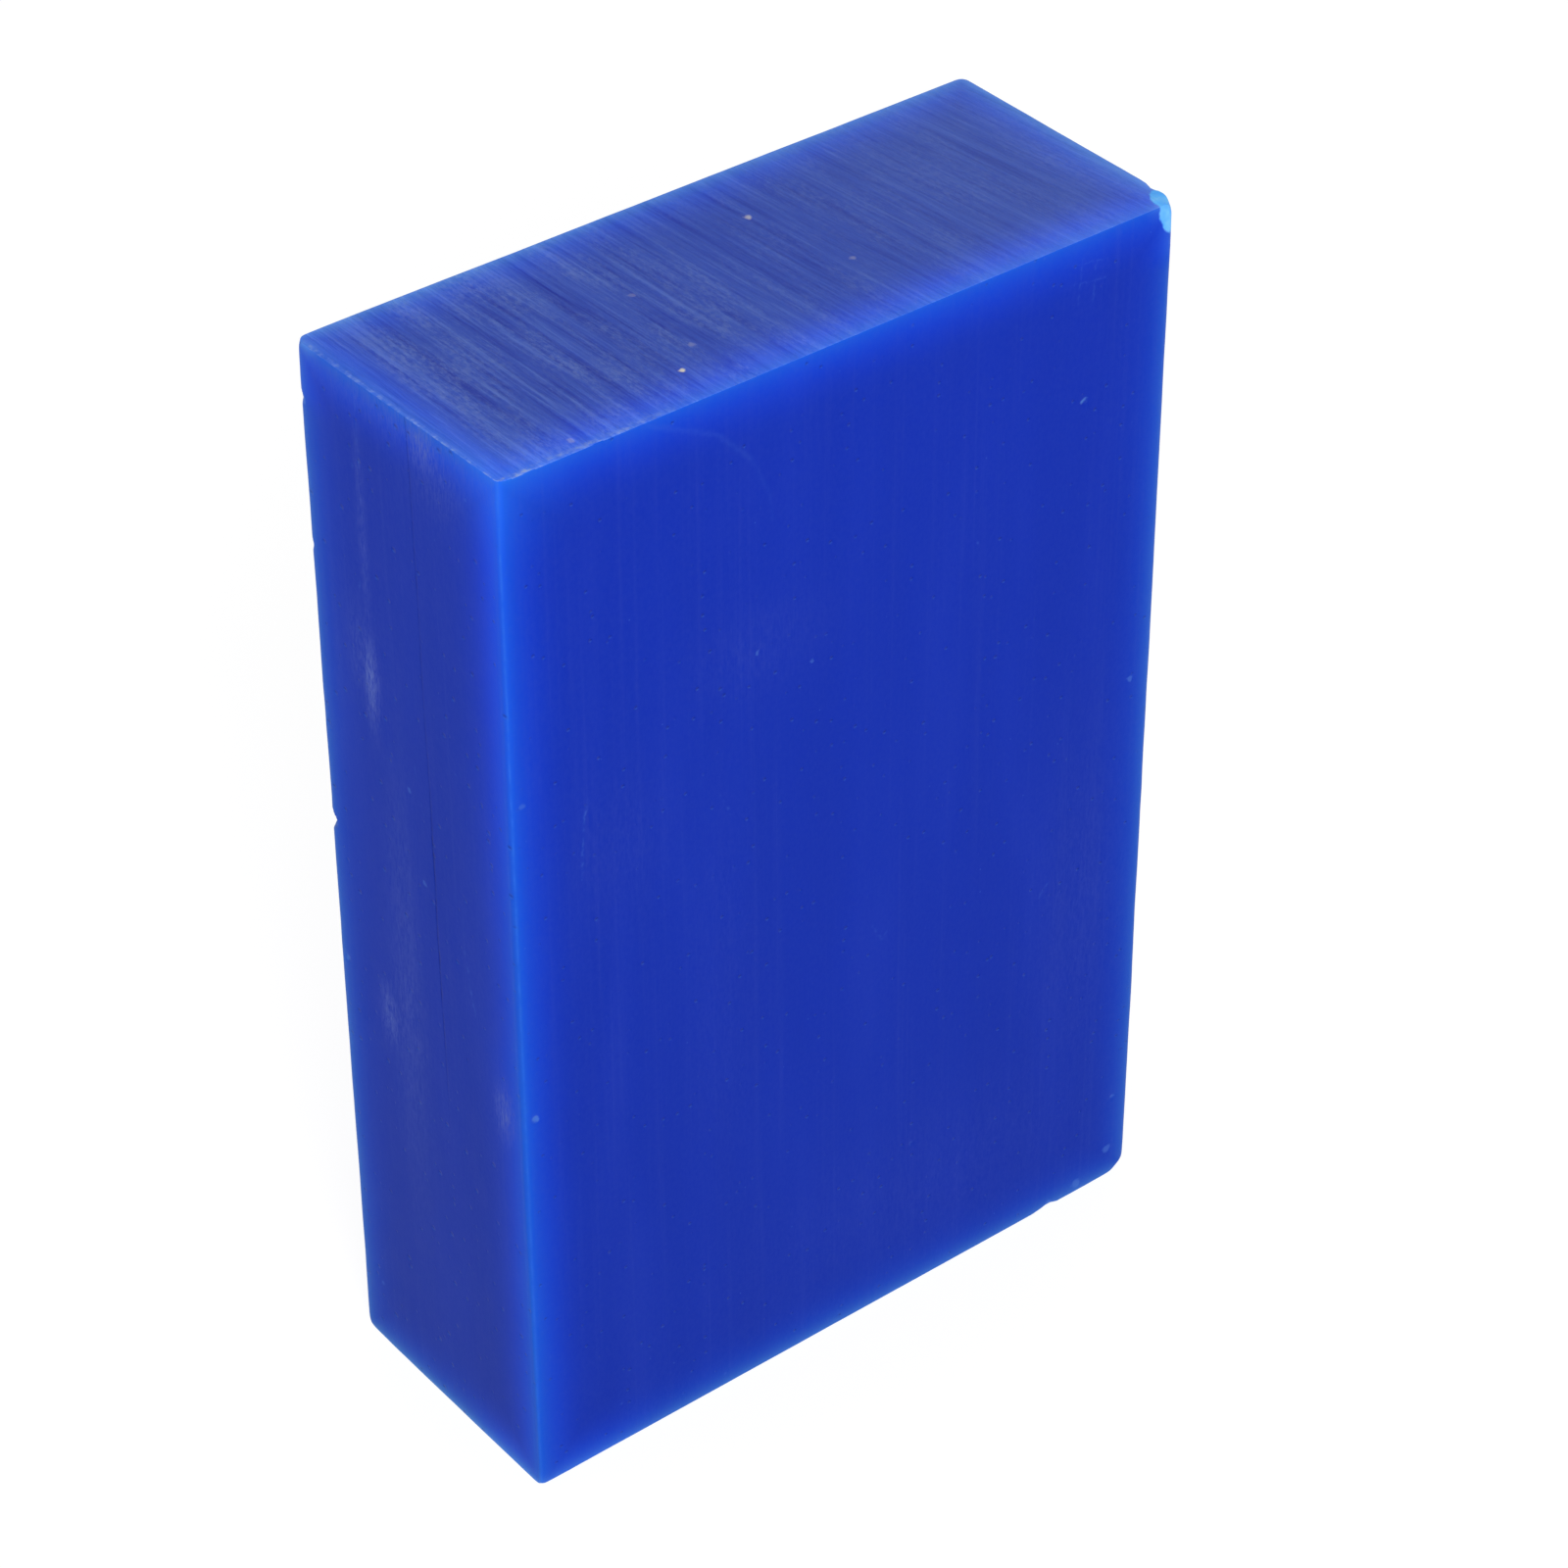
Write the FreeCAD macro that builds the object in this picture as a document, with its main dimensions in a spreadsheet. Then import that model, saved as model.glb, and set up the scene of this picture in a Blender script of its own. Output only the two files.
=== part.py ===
import FreeCAD, Part
import os
import Sketcher

# A bar of hard translucent wax, standing on its cast end.
#
# The bar is one solid piece. Its four broad and narrow sides are cast, so the
# four long edges between them are softly rounded. The lower end is cast as
# well, with a tighter edge. The upper end was cut with a band saw, so its rim
# is nearly sharp. One upper corner is chipped, one lower corner is worn, and
# three small nicks lie on the edges.
#
# Frame: origin at the middle of the lower end, +Z up along the length,
# X across the width and Y across the thickness. The broad smooth side that
# counts as the front looks towards -Y. Millimetres throughout.

NODE = "wax_bar"
PARTS_FOLDER = "parts"
AXIS_TOLERANCE = 1e-6
FIRST_HALF_WIDTH = 10.0            # size of the rectangle before the sheet drives it
FIRST_HALF_DEPTH = 5.0

# Driving dimensions: alias, millimetres.
DIMENSIONS = (
    ("bar_width", 92.1),            # across X
    ("bar_thickness", 36.5),        # across Y
    ("bar_length", 140.5),          # along Z, lower end to sawn end
    ("cast_edge_radius", 1.1),      # the four long edges
    ("foot_edge_radius", 0.5),      # rim of the cast lower end
    ("sawn_edge_chamfer", 0.2),     # rim of the sawn upper end
    ("chip_leg_x", 1.9),            # how far the chip runs along the X edge
    ("chip_leg_y", 2.5),            # along the Y edge
    ("chip_leg_z", 3.1),            # down the long edge
    ("wear_leg_x", 2.6),            # the same three legs for the worn corner
    ("wear_leg_y", 2.0),
    ("wear_leg_z", 2.1),
    ("facet_tool_radius", 8.0),     # cutter for both corner facets
    ("facet_tool_height", 6.0),
    ("notch_radius", 1.5),          # deepest nick, half way up the rear edge
    ("notch_height", 77.4),
    ("notch_offset", 0.3),          # its centre stands off the edge by this, in X and Y
    ("high_nick_radius", 0.8),      # shallow nick near the top of the rear edge
    ("high_nick_height", 133.6),
    ("high_nick_offset", 0.0),
    ("foot_nick_radius", 1.1),      # shallow nick in the front rim of the lower end
    ("foot_nick_across", 32.8),     # how far it lies from the middle, towards +X
    ("foot_nick_offset", 0.35),
)


def make_sheet(doc):
    """Put every driving dimension in a spreadsheet cell that has an alias."""
    sheet = doc.addObject("Spreadsheet::Sheet", "dims")
    for row, (alias, millimetres) in enumerate(DIMENSIONS, start=1):
        sheet.set(f"A{row}", alias)
        sheet.set(f"B{row}", str(millimetres))
        sheet.setAlias(f"B{row}", alias)
    doc.recompute()
    return sheet


def origin_plane(body, role):
    """One of the body's own three origin planes."""
    for feature in body.Origin.OriginFeatures:
        if feature.Role == role:
            return feature
    raise ValueError(f"{body.Label} has no plane {role}")


def centred_rectangle(body, name, width, depth):
    """Sketch on the XY plane: a rectangle about the origin, sized by two cells."""
    sketch = body.newObject("Sketcher::SketchObject", name)
    sketch.AttachmentSupport = [(origin_plane(body, "XY_Plane"), "")]
    sketch.MapMode = "FlatFace"
    half_x, half_y = FIRST_HALF_WIDTH, FIRST_HALF_DEPTH
    corners = [
        FreeCAD.Vector(-half_x, -half_y, 0),
        FreeCAD.Vector(half_x, -half_y, 0),
        FreeCAD.Vector(half_x, half_y, 0),
        FreeCAD.Vector(-half_x, half_y, 0),
    ]
    start, end, origin_point = 1, 2, (-1, 1)
    for i in range(4):
        sketch.addGeometry(Part.LineSegment(corners[i], corners[(i + 1) % 4]), False)
    for i in range(4):
        sketch.addConstraint(Sketcher.Constraint("Coincident", i, end, (i + 1) % 4, start))
    for i in (0, 2):
        sketch.addConstraint(Sketcher.Constraint("Horizontal", i))
    for i in (1, 3):
        sketch.addConstraint(Sketcher.Constraint("Vertical", i))
    sketch.addConstraint(Sketcher.Constraint("Symmetric", 0, start, 2, start, *origin_point))
    across = sketch.addConstraint(Sketcher.Constraint("DistanceX", 0, start, 0, end, 2 * half_x))
    deep = sketch.addConstraint(Sketcher.Constraint("DistanceY", 1, start, 1, end, 2 * half_y))
    sketch.setExpression(f"Constraints[{across}]", width)
    sketch.setExpression(f"Constraints[{deep}]", depth)
    return sketch


def edges_where(shape, test):
    """Names of the edges of a shape that pass a test."""
    return [f"Edge{i}" for i, edge in enumerate(shape.Edges, start=1) if test(edge)]


def along_z(edge):
    """True for an edge that runs up the bar."""
    box = edge.BoundBox
    return box.XLength < AXIS_TOLERANCE and box.YLength < AXIS_TOLERANCE


def in_level(height):
    """A test for edges that lie flat at one height."""
    def test(edge):
        box = edge.BoundBox
        return abs(box.ZMin - height) < AXIS_TOLERANCE and abs(box.ZMax - height) < AXIS_TOLERANCE
    return test


def dress_edges(doc, body, kind, name, base, names, size_property, size):
    """Round or chamfer some edges of the feature called base."""
    feature = body.newObject(kind, name)
    feature.Base = (base, names)
    feature.setExpression(size_property, size)
    doc.recompute()
    return feature


def cut_corner(doc, body, sheet, name, legs, signs, corner_height):
    """Take one corner off with a flat facet that meets the three edges at its legs.

    The cutter is a cylinder whose flat end is the facet. The facet's middle is
    a third of each leg in from the corner, and its normal is (1/x, 1/y, 1/z).
    """
    leg_x, leg_y, leg_z = (sheet.get(f"{legs}_leg_{axis}") for axis in "xyz")
    sign_x, sign_y, sign_z = signs
    normal = FreeCAD.Vector(sign_x / leg_x, sign_y / leg_y, sign_z / leg_z)
    cutter = body.newObject("PartDesign::SubtractiveCylinder", name)
    cutter.setExpression("Radius", "dims.facet_tool_radius")
    cutter.setExpression("Height", "dims.facet_tool_height")
    cutter.Placement.Rotation = FreeCAD.Rotation(FreeCAD.Vector(0, 0, 1), normal)
    cutter.setExpression("Placement.Base.x",
                         f"{sign_x} * (dims.bar_width / 2 - dims.{legs}_leg_x / 3)")
    cutter.setExpression("Placement.Base.y",
                         f"{sign_y} * (dims.bar_thickness / 2 - dims.{legs}_leg_y / 3)")
    cutter.setExpression("Placement.Base.z",
                         f"{corner_height} - {sign_z} * dims.{legs}_leg_z / 3")
    doc.recompute()
    return cutter


def cut_nick(doc, body, name, radius, place):
    """Scoop a small hollow out of an edge with a ball centred at place."""
    ball = body.newObject("PartDesign::SubtractiveSphere", name)
    ball.setExpression("Radius", radius)
    for axis, expression in zip("xyz", place):
        ball.setExpression(f"Placement.Base.{axis}", expression)
    doc.recompute()
    return ball


def make_wax_bar(doc, sheet):
    """The whole bar: cast block, dressed edges, chip, worn corner and nicks."""
    body = doc.addObject("PartDesign::Body", NODE)
    body.Label = NODE
    length = sheet.get("bar_length")

    section = centred_rectangle(body, "bar_section", "dims.bar_width", "dims.bar_thickness")
    block = body.newObject("PartDesign::Pad", "cast_block")
    block.Profile = section
    block.setExpression("Length", "dims.bar_length")
    doc.recompute()

    steps = [block]
    steps.append(dress_edges(doc, body, "PartDesign::Fillet", "cast_edges", steps[-1],
                             edges_where(steps[-1].Shape, along_z),
                             "Radius", "dims.cast_edge_radius"))
    steps.append(dress_edges(doc, body, "PartDesign::Fillet", "foot_rim", steps[-1],
                             edges_where(steps[-1].Shape, in_level(0.0)),
                             "Radius", "dims.foot_edge_radius"))
    steps.append(dress_edges(doc, body, "PartDesign::Chamfer", "sawn_rim", steps[-1],
                             edges_where(steps[-1].Shape, in_level(length)),
                             "Size", "dims.sawn_edge_chamfer"))

    steps.append(cut_corner(doc, body, sheet, "chipped_corner", "chip",
                            (1, -1, 1), "dims.bar_length"))
    steps.append(cut_corner(doc, body, sheet, "worn_corner", "wear",
                            (1, -1, -1), "0"))

    rear_edge_x = "-dims.bar_width / 2 - dims.{0}_offset"
    rear_edge_y = "dims.bar_thickness / 2 + dims.{0}_offset"
    for name in ("notch", "high_nick"):
        steps.append(cut_nick(doc, body, name, f"dims.{name}_radius",
                              (rear_edge_x.format(name), rear_edge_y.format(name),
                               f"dims.{name}_height")))
    steps.append(cut_nick(doc, body, "foot_nick", "dims.foot_nick_radius",
                          ("dims.foot_nick_across",
                           "-dims.bar_thickness / 2 - dims.foot_nick_offset",
                           "-dims.foot_nick_offset")))
    body.Placement = FreeCAD.Placement()
    doc.recompute()

    for before, after in zip(steps, steps[1:]):
        if not after.Shape.Volume < before.Shape.Volume:
            raise RuntimeError(f"{after.Name} took nothing off the bar")
    return body


def check_document(doc, bodies):
    """Stop if any object failed or any sub-part is not one valid solid."""
    for thing in doc.Objects:
        if "Invalid" in thing.State or "Error" in thing.State:
            raise RuntimeError(f"{thing.Name} failed: {thing.State}")
    for body in bodies:
        shape = body.Shape
        if shape.isNull() or not shape.isValid() or len(shape.Solids) != 1:
            raise RuntimeError(f"{body.Label} is not one valid solid")


def main():
    doc = FreeCAD.newDocument("wax_bar_model")
    sheet = make_sheet(doc)
    bodies = [make_wax_bar(doc, sheet)]
    check_document(doc, bodies)
    os.makedirs(PARTS_FOLDER, exist_ok=True)
    for body in bodies:
        box = body.Shape.optimalBoundingBox()
        body.Shape.exportStep(os.path.join(PARTS_FOLDER, f"{body.Label}.step"))
        print(f"{body.Label}: {box.XLength:.2f} x {box.YLength:.2f} x {box.ZLength:.2f} mm, "
              f"{body.Shape.Volume / 1000:.1f} cm3")


main()
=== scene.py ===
import itertools
import math

import bpy
import numpy as np
from mathutils import Matrix, Vector


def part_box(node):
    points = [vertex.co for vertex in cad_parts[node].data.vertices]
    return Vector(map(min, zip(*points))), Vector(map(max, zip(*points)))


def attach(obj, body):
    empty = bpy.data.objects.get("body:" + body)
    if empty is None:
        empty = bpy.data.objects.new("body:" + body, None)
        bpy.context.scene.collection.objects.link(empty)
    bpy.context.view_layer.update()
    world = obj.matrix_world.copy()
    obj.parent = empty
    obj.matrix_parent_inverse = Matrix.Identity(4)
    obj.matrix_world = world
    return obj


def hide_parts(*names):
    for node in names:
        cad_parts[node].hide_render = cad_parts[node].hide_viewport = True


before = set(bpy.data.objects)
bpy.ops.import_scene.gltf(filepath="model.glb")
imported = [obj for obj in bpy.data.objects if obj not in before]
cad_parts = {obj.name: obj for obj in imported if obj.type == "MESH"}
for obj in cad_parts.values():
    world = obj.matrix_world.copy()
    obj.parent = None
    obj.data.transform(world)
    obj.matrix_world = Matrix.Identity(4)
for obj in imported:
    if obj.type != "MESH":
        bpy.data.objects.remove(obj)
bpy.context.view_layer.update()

# The bar stands on its foot, with its cast front towards -Y and its sawn end on top.
# Lengths below are in millimetres; the finished mesh is scaled to metres.
MM = 0.001
LOW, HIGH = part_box("wax_bar")
HALF_X = (HIGH.x - LOW.x) / 2 / MM
HALF_Y = (HIGH.y - LOW.y) / 2 / MM
HEIGHT = (HIGH.z - LOW.z) / MM


# The rounding of the upright edges, of the foot's rim and of the sawn rim, and how far
# in from the walls the flat of each end starts.
EDGE_RADIUS = 1.1
FOOT_RADIUS = 0.5
SAWN_BEVEL = 0.2
RIM_INSET = 0.9
FLAT_X = HALF_X - EDGE_RADIUS
FLAT_Y = HALF_Y - EDGE_RADIUS

# How far apart the points of the mesh are, and how many there are round each rounding.
WALL_STEP = 1.25
EDGE_STEP = 0.3
FOOT_STEP = 1.3
SAWN_STEP = 1.15
SAW_LINE_STEP = 0.22
ARC_POINTS = 9
FOOT_ARC_POINTS = 7
BEVEL_ARC_POINTS = 4

# The marks in the rear left edge: how far up they are and how deep they go.
NOTCH_HEIGHT = 77.4
NOTCH_DEPTH = 0.56
LEDGE_HEIGHT = 114.8
LEDGE_DEPTH = 0.16
NICK_HEIGHT = 133.6
NICK_DEPTH = 0.2


def on_front(across, up):
    """A point of the front, measured from its left edge and the foot."""
    return (across - HALF_X, -HALF_Y, up)


def on_left(across, up):
    """A point of the left side, measured from its rear edge and the foot."""
    return (-HALF_X, HALF_Y - across, up)


def on_top(across, back):
    """A point of the sawn end, measured from its left and front edges."""
    return (across - HALF_X, back - HALF_Y, HEIGHT)


def on_back(across, up):
    """A point of the back, measured from the right edge and the foot."""
    return (HALF_X - across, HALF_Y, up)


def on_right(across, up):
    """A point of the right side, measured from its front edge and the foot."""
    return (HALF_X, across - HALF_Y, up)


FRONT_OUT = (0, -1, 0)
LEFT_OUT = (-1, 0, 0)
BACK_OUT = (0, 1, 0)
RIGHT_OUT = (1, 0, 0)

# The larger hollows in the cast faces: place, outward direction, radius, depth.
PITS = [
    (on_front(79.6, 119.2), FRONT_OUT, 0.55, 0.22),
    (on_front(33.4, 105.4), FRONT_OUT, 0.5, 0.16),
    (on_front(56.4, 22.8), FRONT_OUT, 0.5, 0.16),
    (on_front(1.4, 56.1), FRONT_OUT, 0.6, 0.22),
    (on_front(89.3, 12.9), FRONT_OUT, 0.45, 0.16),
    (on_left(1.75, 58.2), LEFT_OUT, 0.55, 0.2),
    (on_back(22.0, 96.0), BACK_OUT, 0.6, 0.2),
    (on_back(64.0, 38.0), BACK_OUT, 0.5, 0.18),
    (on_right(9.5, 51.0), RIGHT_OUT, 0.5, 0.18),
]


# ---------------------------------------------------------------- mesh


def graded(start, end, step, spots=()):
    """Positions from start to end, closer together round each spot (centre, reach, step)."""
    place = np.linspace(start, end, 6001)
    rate = np.full(place.size, 1 / step)
    for centre, reach, fine in spots:
        rise = (1 / fine - 1 / step) * np.exp(-(((place - centre) / reach) ** 2))
        rate = np.maximum(rate, 1 / step + rise)
    gained = (rate[1:] + rate[:-1]) / 2 * np.diff(place)
    count = np.concatenate([[0], np.cumsum(gained)])
    total = max(2, round(count[-1]))
    return np.interp(np.linspace(0, count[-1], total + 1), count, place)


def pit_spots(out, axis):
    """Where the mesh has to be finer along one axis for the pits of one face, or of all."""
    found = []
    for place, facing, radius, _ in PITS:
        if out is None or facing == out:
            found.append((place[axis], radius * 1.4, radius / 2.4))
    return found


def wall_run(half, out, axis):
    """Positions along one side of the section, finer at its ends and pits."""
    ends = [(-half, 2.2, EDGE_STEP), (half, 2.2, EDGE_STEP)]
    return graded(-half, half, WALL_STEP, ends + pit_spots(out, axis))


def section():
    """Arc centres and outward directions round the section, anticlockwise from above."""
    front = wall_run(FLAT_X, FRONT_OUT, 0)
    right = wall_run(FLAT_Y, RIGHT_OUT, 1)
    back = wall_run(FLAT_X, BACK_OUT, 0)[::-1]
    left = wall_run(FLAT_Y, LEFT_OUT, 1)[::-1]
    runs = [
        [(x, -FLAT_Y) for x in front],
        [(FLAT_X, y) for y in right],
        [(x, FLAT_Y) for x in back],
        [(-FLAT_X, y) for y in left],
    ]
    centres, outs = [], []
    for side, run in enumerate(runs):
        facing = math.radians(-90 + 90 * side)
        centres += run
        outs += [(math.cos(facing), math.sin(facing))] * len(run)
        for k in range(1, ARC_POINTS + 1):
            turn = facing + math.radians(90) * k / (ARC_POINTS + 1)
            centres.append(run[-1])
            outs.append((math.cos(turn), math.sin(turn)))
    return np.array(centres), np.array(outs)


def rim_steps(radius, steps):
    """Inset, rise and tilt of the points of a rounded rim, from the flat to the wall."""
    turns = np.linspace(0, math.pi / 2, steps)
    return [(radius * (1 - math.sin(t)), radius * (1 - math.cos(t)), t) for t in turns]


def profile():
    """Inset, height and upward tilt (-1 to 1) of each ring, from the foot to the sawn end."""
    foot_inset = (RIM_INSET + FOOT_RADIUS) / 2
    rings = [(RIM_INSET, 0.0, -1.0), (foot_inset, 0.0, -1.0)]
    for inset, rise, turn in rim_steps(FOOT_RADIUS, FOOT_ARC_POINTS):
        rings.append((inset, rise, -math.cos(turn)))
    spots = [
        (FOOT_RADIUS, 2.5, 0.25),
        (HEIGHT - SAWN_BEVEL, 3.4, 0.25),
        (NOTCH_HEIGHT, 1.6, 0.22),
        (LEDGE_HEIGHT, 1.2, 0.3),
        (NICK_HEIGHT, 1.3, 0.25),
    ]
    spots += pit_spots(None, 2)
    levels = graded(FOOT_RADIUS, HEIGHT - SAWN_BEVEL, WALL_STEP, spots)
    rings += [(0.0, z, 0.0) for z in levels[1:]]
    for inset, rise, turn in reversed(rim_steps(SAWN_BEVEL, BEVEL_ARC_POINTS)[:-1]):
        rings.append((inset, HEIGHT - rise, math.cos(turn)))
    rings += [(RIM_INSET / 2, HEIGHT, 1.0), (RIM_INSET, HEIGHT, 1.0)]
    return rings


def belt(centres, outs):
    """Points and directions of the walls and both rims, ring by ring."""
    points, normals = [], []
    for inset, height, up in profile():
        flat = centres + outs * (EDGE_RADIUS - inset)
        points.append(np.column_stack([flat, np.full(len(flat), height)]))
        level = math.sqrt(1 - up * up)
        normals.append(np.column_stack([outs * level, np.full(len(flat), up)]))
    return np.concatenate(points), np.concatenate(normals), len(points)


def cap(x_places, y_places, height, up):
    """Points and directions of the flat of one end, row by row."""
    x, y = np.meshgrid(x_places, y_places)
    points = np.column_stack([x.ravel(), y.ravel(), np.full(x.size, height)])
    normals = np.tile((0.0, 0.0, float(up)), (x.size, 1))
    return points, normals


def cap_border(columns, rows, first):
    """Indices round the edge of a cap, anticlockwise from its front left corner."""
    grid = first + np.arange(rows * columns).reshape(rows, columns)
    return np.concatenate(
        [grid[0], grid[1:, -1], grid[-1, -2::-1], grid[-2:0:-1, 0]]
    )


def grid_faces(columns, rows, first, flip):
    """The faces of a cap."""
    grid = first + np.arange(rows * columns).reshape(rows, columns)
    quads = np.stack(
        [grid[:-1, :-1], grid[:-1, 1:], grid[1:, 1:], grid[1:, :-1]], axis=-1
    ).reshape(-1, 4)
    return (quads[:, ::-1] if flip else quads).tolist()


def belt_faces(around, rings):
    """The faces of the walls."""
    grid = np.arange(around * rings).reshape(rings, around)
    after = np.roll(grid, -1, axis=1)
    quads = np.stack([grid[:-1], after[:-1], after[1:], grid[1:]], axis=-1)
    return quads.reshape(-1, 4).tolist()


def along(corners):
    """How far each of a row of points lies along their closed path."""
    gaps = np.linalg.norm(np.diff(corners, axis=0, append=corners[:1]), axis=1)
    return np.concatenate([[0], np.cumsum(gaps)])


def zip_faces(outer, inner, outer_path, inner_path, flip):
    """Triangles between two closed loops of points that are not equally spaced."""
    outer_at, inner_at = along(outer_path), along(inner_path)
    i, k = 0, 0
    faces = []
    while i < len(outer) or k < len(inner):
        inner_next = inner_at[k + 1] if k < len(inner) else math.inf
        outer_next = outer_at[i + 1] if i < len(outer) else math.inf
        a, c = outer[i % len(outer)], inner[k % len(inner)]
        if inner_next <= outer_next + 1e-9:
            faces.append((a, inner[(k + 1) % len(inner)], c))
            k += 1
        else:
            faces.append((a, outer[(i + 1) % len(outer)], c))
            i += 1
    return [face[::-1] for face in faces] if flip else faces


def plain_bar():
    """Points, outward directions and faces of the bar before any wear."""
    centres, outs = section()
    points, normals, rings = belt(centres, outs)
    around = len(centres)
    faces = belt_faces(around, rings)
    rim_spots = [(-FLAT_Y, 1.5, 0.3), (FLAT_Y, 1.5, 0.4)]
    rows_top = graded(-FLAT_Y, FLAT_Y, SAWN_STEP, rim_spots)
    columns_top = graded(-FLAT_X, FLAT_X, SAW_LINE_STEP)
    rows_foot = graded(-FLAT_Y, FLAT_Y, FOOT_STEP)
    columns_foot = graded(-FLAT_X, FLAT_X, FOOT_STEP)
    ends = [
        (columns_foot, rows_foot, 0.0, -1, np.arange(around)),
        (columns_top, rows_top, HEIGHT, 1, around * (rings - 1) + np.arange(around)),
    ]
    for columns, rows, height, up, ring in ends:
        first = len(points)
        more_points, more_normals = cap(columns, rows, height, up)
        points = np.concatenate([points, more_points])
        normals = np.concatenate([normals, more_normals])
        border = cap_border(len(columns), len(rows), first)
        faces += grid_faces(len(columns), len(rows), first, up < 0)
        faces += zip_faces(
            ring.tolist(), border.tolist(), centres, points[border, :2], up < 0
        )
    return points, normals, faces


# ---------------------------------------------------------------- wear in the shape

# The broken corner: how far the flat of the break reaches along its three edges, how far
# its pale crushed wax with painted glow reaches, and the deeper bite beside it.
CORNER_CHIP = (HALF_X, -HALF_Y, HEIGHT)
CHIP_LEGS = (1.3, -1.9, 2.0)
CHIP_REACH = (2.7, 3.5, 4.2)
BITE_PLACE = (HALF_X - 0.1, -HALF_Y + 3.9, HEIGHT - 0.1)
BITE_DEPTH = 0.26
BITE_REACH = 0.8

# The worn lower front right corner, and the three left corners that are rubbed a little:
# how far from each the wax is gone along its three edges.
CORNER_WORN = (HALF_X, -HALF_Y, 0.0)
WEAR_LEGS = (2.6, -2.0, -2.1)
RUBBED_CORNERS = [
    ((-HALF_X, HALF_Y, HEIGHT), (-0.9, 1.3, 1.3)),
    ((-HALF_X, HALF_Y, 0.0), (-0.9, 1.5, -1.3)),
    ((-HALF_X, -HALF_Y, 0.0), (-0.9, -0.9, -0.7)),
]

# The nick in the front of the foot, from the left edge.
FOOT_NICK_ACROSS = 79.0
FOOT_NICK_REACH = 1.1
FOOT_NICK_DEPTH = 0.2

# How far the cast faces have shrunk in their middles.
SUNK_BROAD = 0.2
SUNK_SIDE = 0.1
SUNK_FOOT = 0.15

# How far the walls and the sawn end lie inside the nominal box, before their relief.
WALL_INSET = 0.045
SAWN_INSET = 0.09

# The slant of the saw lines at the left edge, and how fast it turns from there on.
SAW_START = 0.0071
SAW_FAN = 0.00125

# The ragged lip that the saw left: height, overhang, and how far back from the front it is.
BURR_HEIGHT = 0.09
BURR_OVERHANG = 0.05
BURR_BACK = 0.35

REAR_EDGE_OUT = (-0.75, 0.66, 0.0)
LEAN = 0.4


def smooth_noise(points, size, seed):
    """Smooth noise from -1 to 1 with features about size across; size may differ by axis."""
    table = np.random.default_rng(seed).uniform(-1, 1, (32, 32, 32))
    cell = points / np.array(size, float)
    low = np.floor(cell).astype(int)
    part = cell - low
    part = part * part * (3 - 2 * part)
    total = np.zeros(len(points))
    for corner in itertools.product((0, 1), repeat=3):
        weight = np.prod(np.where(corner, part, 1 - part), axis=1)
        at = (low + np.array(corner)) % 32
        total += weight * table[at[:, 0], at[:, 1], at[:, 2]]
    return total


def unit(direction):
    """The direction at length one."""
    vector = np.array(direction, float)
    return vector / np.linalg.norm(vector)


def facet(corner, legs):
    """Direction and level of the plane that meets a corner's edges at the given legs."""
    normal = 1 / np.array(legs, float)
    level = np.dot(normal, corner) - 1
    length = np.linalg.norm(normal)
    return normal / length, level / length


def press(points, out, level, soft):
    """Moves everything beyond a plane back to it, with a soft shoulder."""
    beyond = points @ out - level
    back = (beyond + np.sqrt(beyond**2 + soft**2)) / 2
    far = beyond < -6 * soft
    back[far] = 0
    return points - back[:, None] * out


def sink_faces(points, normals):
    """The cast faces have shrunk a little in their middles."""
    x = np.clip(np.abs(points[:, 0]) / HALF_X, 0, 1)
    y = np.clip(np.abs(points[:, 1]) / HALF_Y, 0, 1)
    z = np.clip(np.abs(points[:, 2] / HEIGHT - 0.5) * 2, 0, 1)
    wide = (1 - x**4) * (1 - z**4) * np.abs(normals[:, 1])
    narrow = (1 - y**4) * (1 - z**4) * np.abs(normals[:, 0])
    foot = (1 - x**4) * (1 - y**4) * np.clip(-normals[:, 2], 0, 1)
    depth = SUNK_BROAD * wide + SUNK_SIDE * narrow + SUNK_FOOT * foot
    return points - normals * depth[:, None]


def lean_near_edge(points):
    """The casting is slightly out of square: its front left edge leans by a third of a degree."""
    near = (0.5 - points[:, 0] / (2 * HALF_X)) * (0.5 - points[:, 1] / (2 * HALF_Y))
    up = points[:, 2] / HEIGHT * 2 - 1
    points = points.copy()
    points[:, 0] += LEAN * up * near
    return points


def ripple_walls(points, normals):
    """Long draw marks up the sides and a slight unevenness of the edges."""
    wall = 1 - np.abs(normals[:, 2])
    draw = smooth_noise(points, (1.6, 1.6, 60), 11) * 0.012
    uneven = smooth_noise(points, (9, 9, 14), 12) * 0.04
    fine = smooth_noise(points, (2.2, 2.2, 3.0), 13) * 0.018
    depth = wall * (WALL_INSET + draw + uneven + fine)
    return points - normals * depth[:, None]


def saw_line(points):
    """Which saw line a point of the sawn end lies on, as the place where it meets the front."""
    across = points[:, 0] + HALF_X
    back = points[:, 1] + HALF_Y
    return points[:, 0] + (SAW_FAN * across - SAW_START) * back


def saw_top(points, normals):
    """Fine ridges left by the saw, which fan out a little to the right."""
    top = np.clip(normals[:, 2], 0, 1) ** 4
    line = saw_line(points)
    along_saw = np.column_stack([line, points[:, 1], np.zeros(len(points))])
    fine = smooth_noise(along_saw, (0.55, 26, 1), 21)
    broad = smooth_noise(along_saw, (2.6, 60, 1), 22)
    mottle = smooth_noise(points, (5, 4, 5), 23)
    depth = top * (SAWN_INSET + 0.028 * fine + 0.03 * broad + 0.02 * mottle)
    points = points.copy()
    points[:, 2] -= depth
    return points


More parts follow.
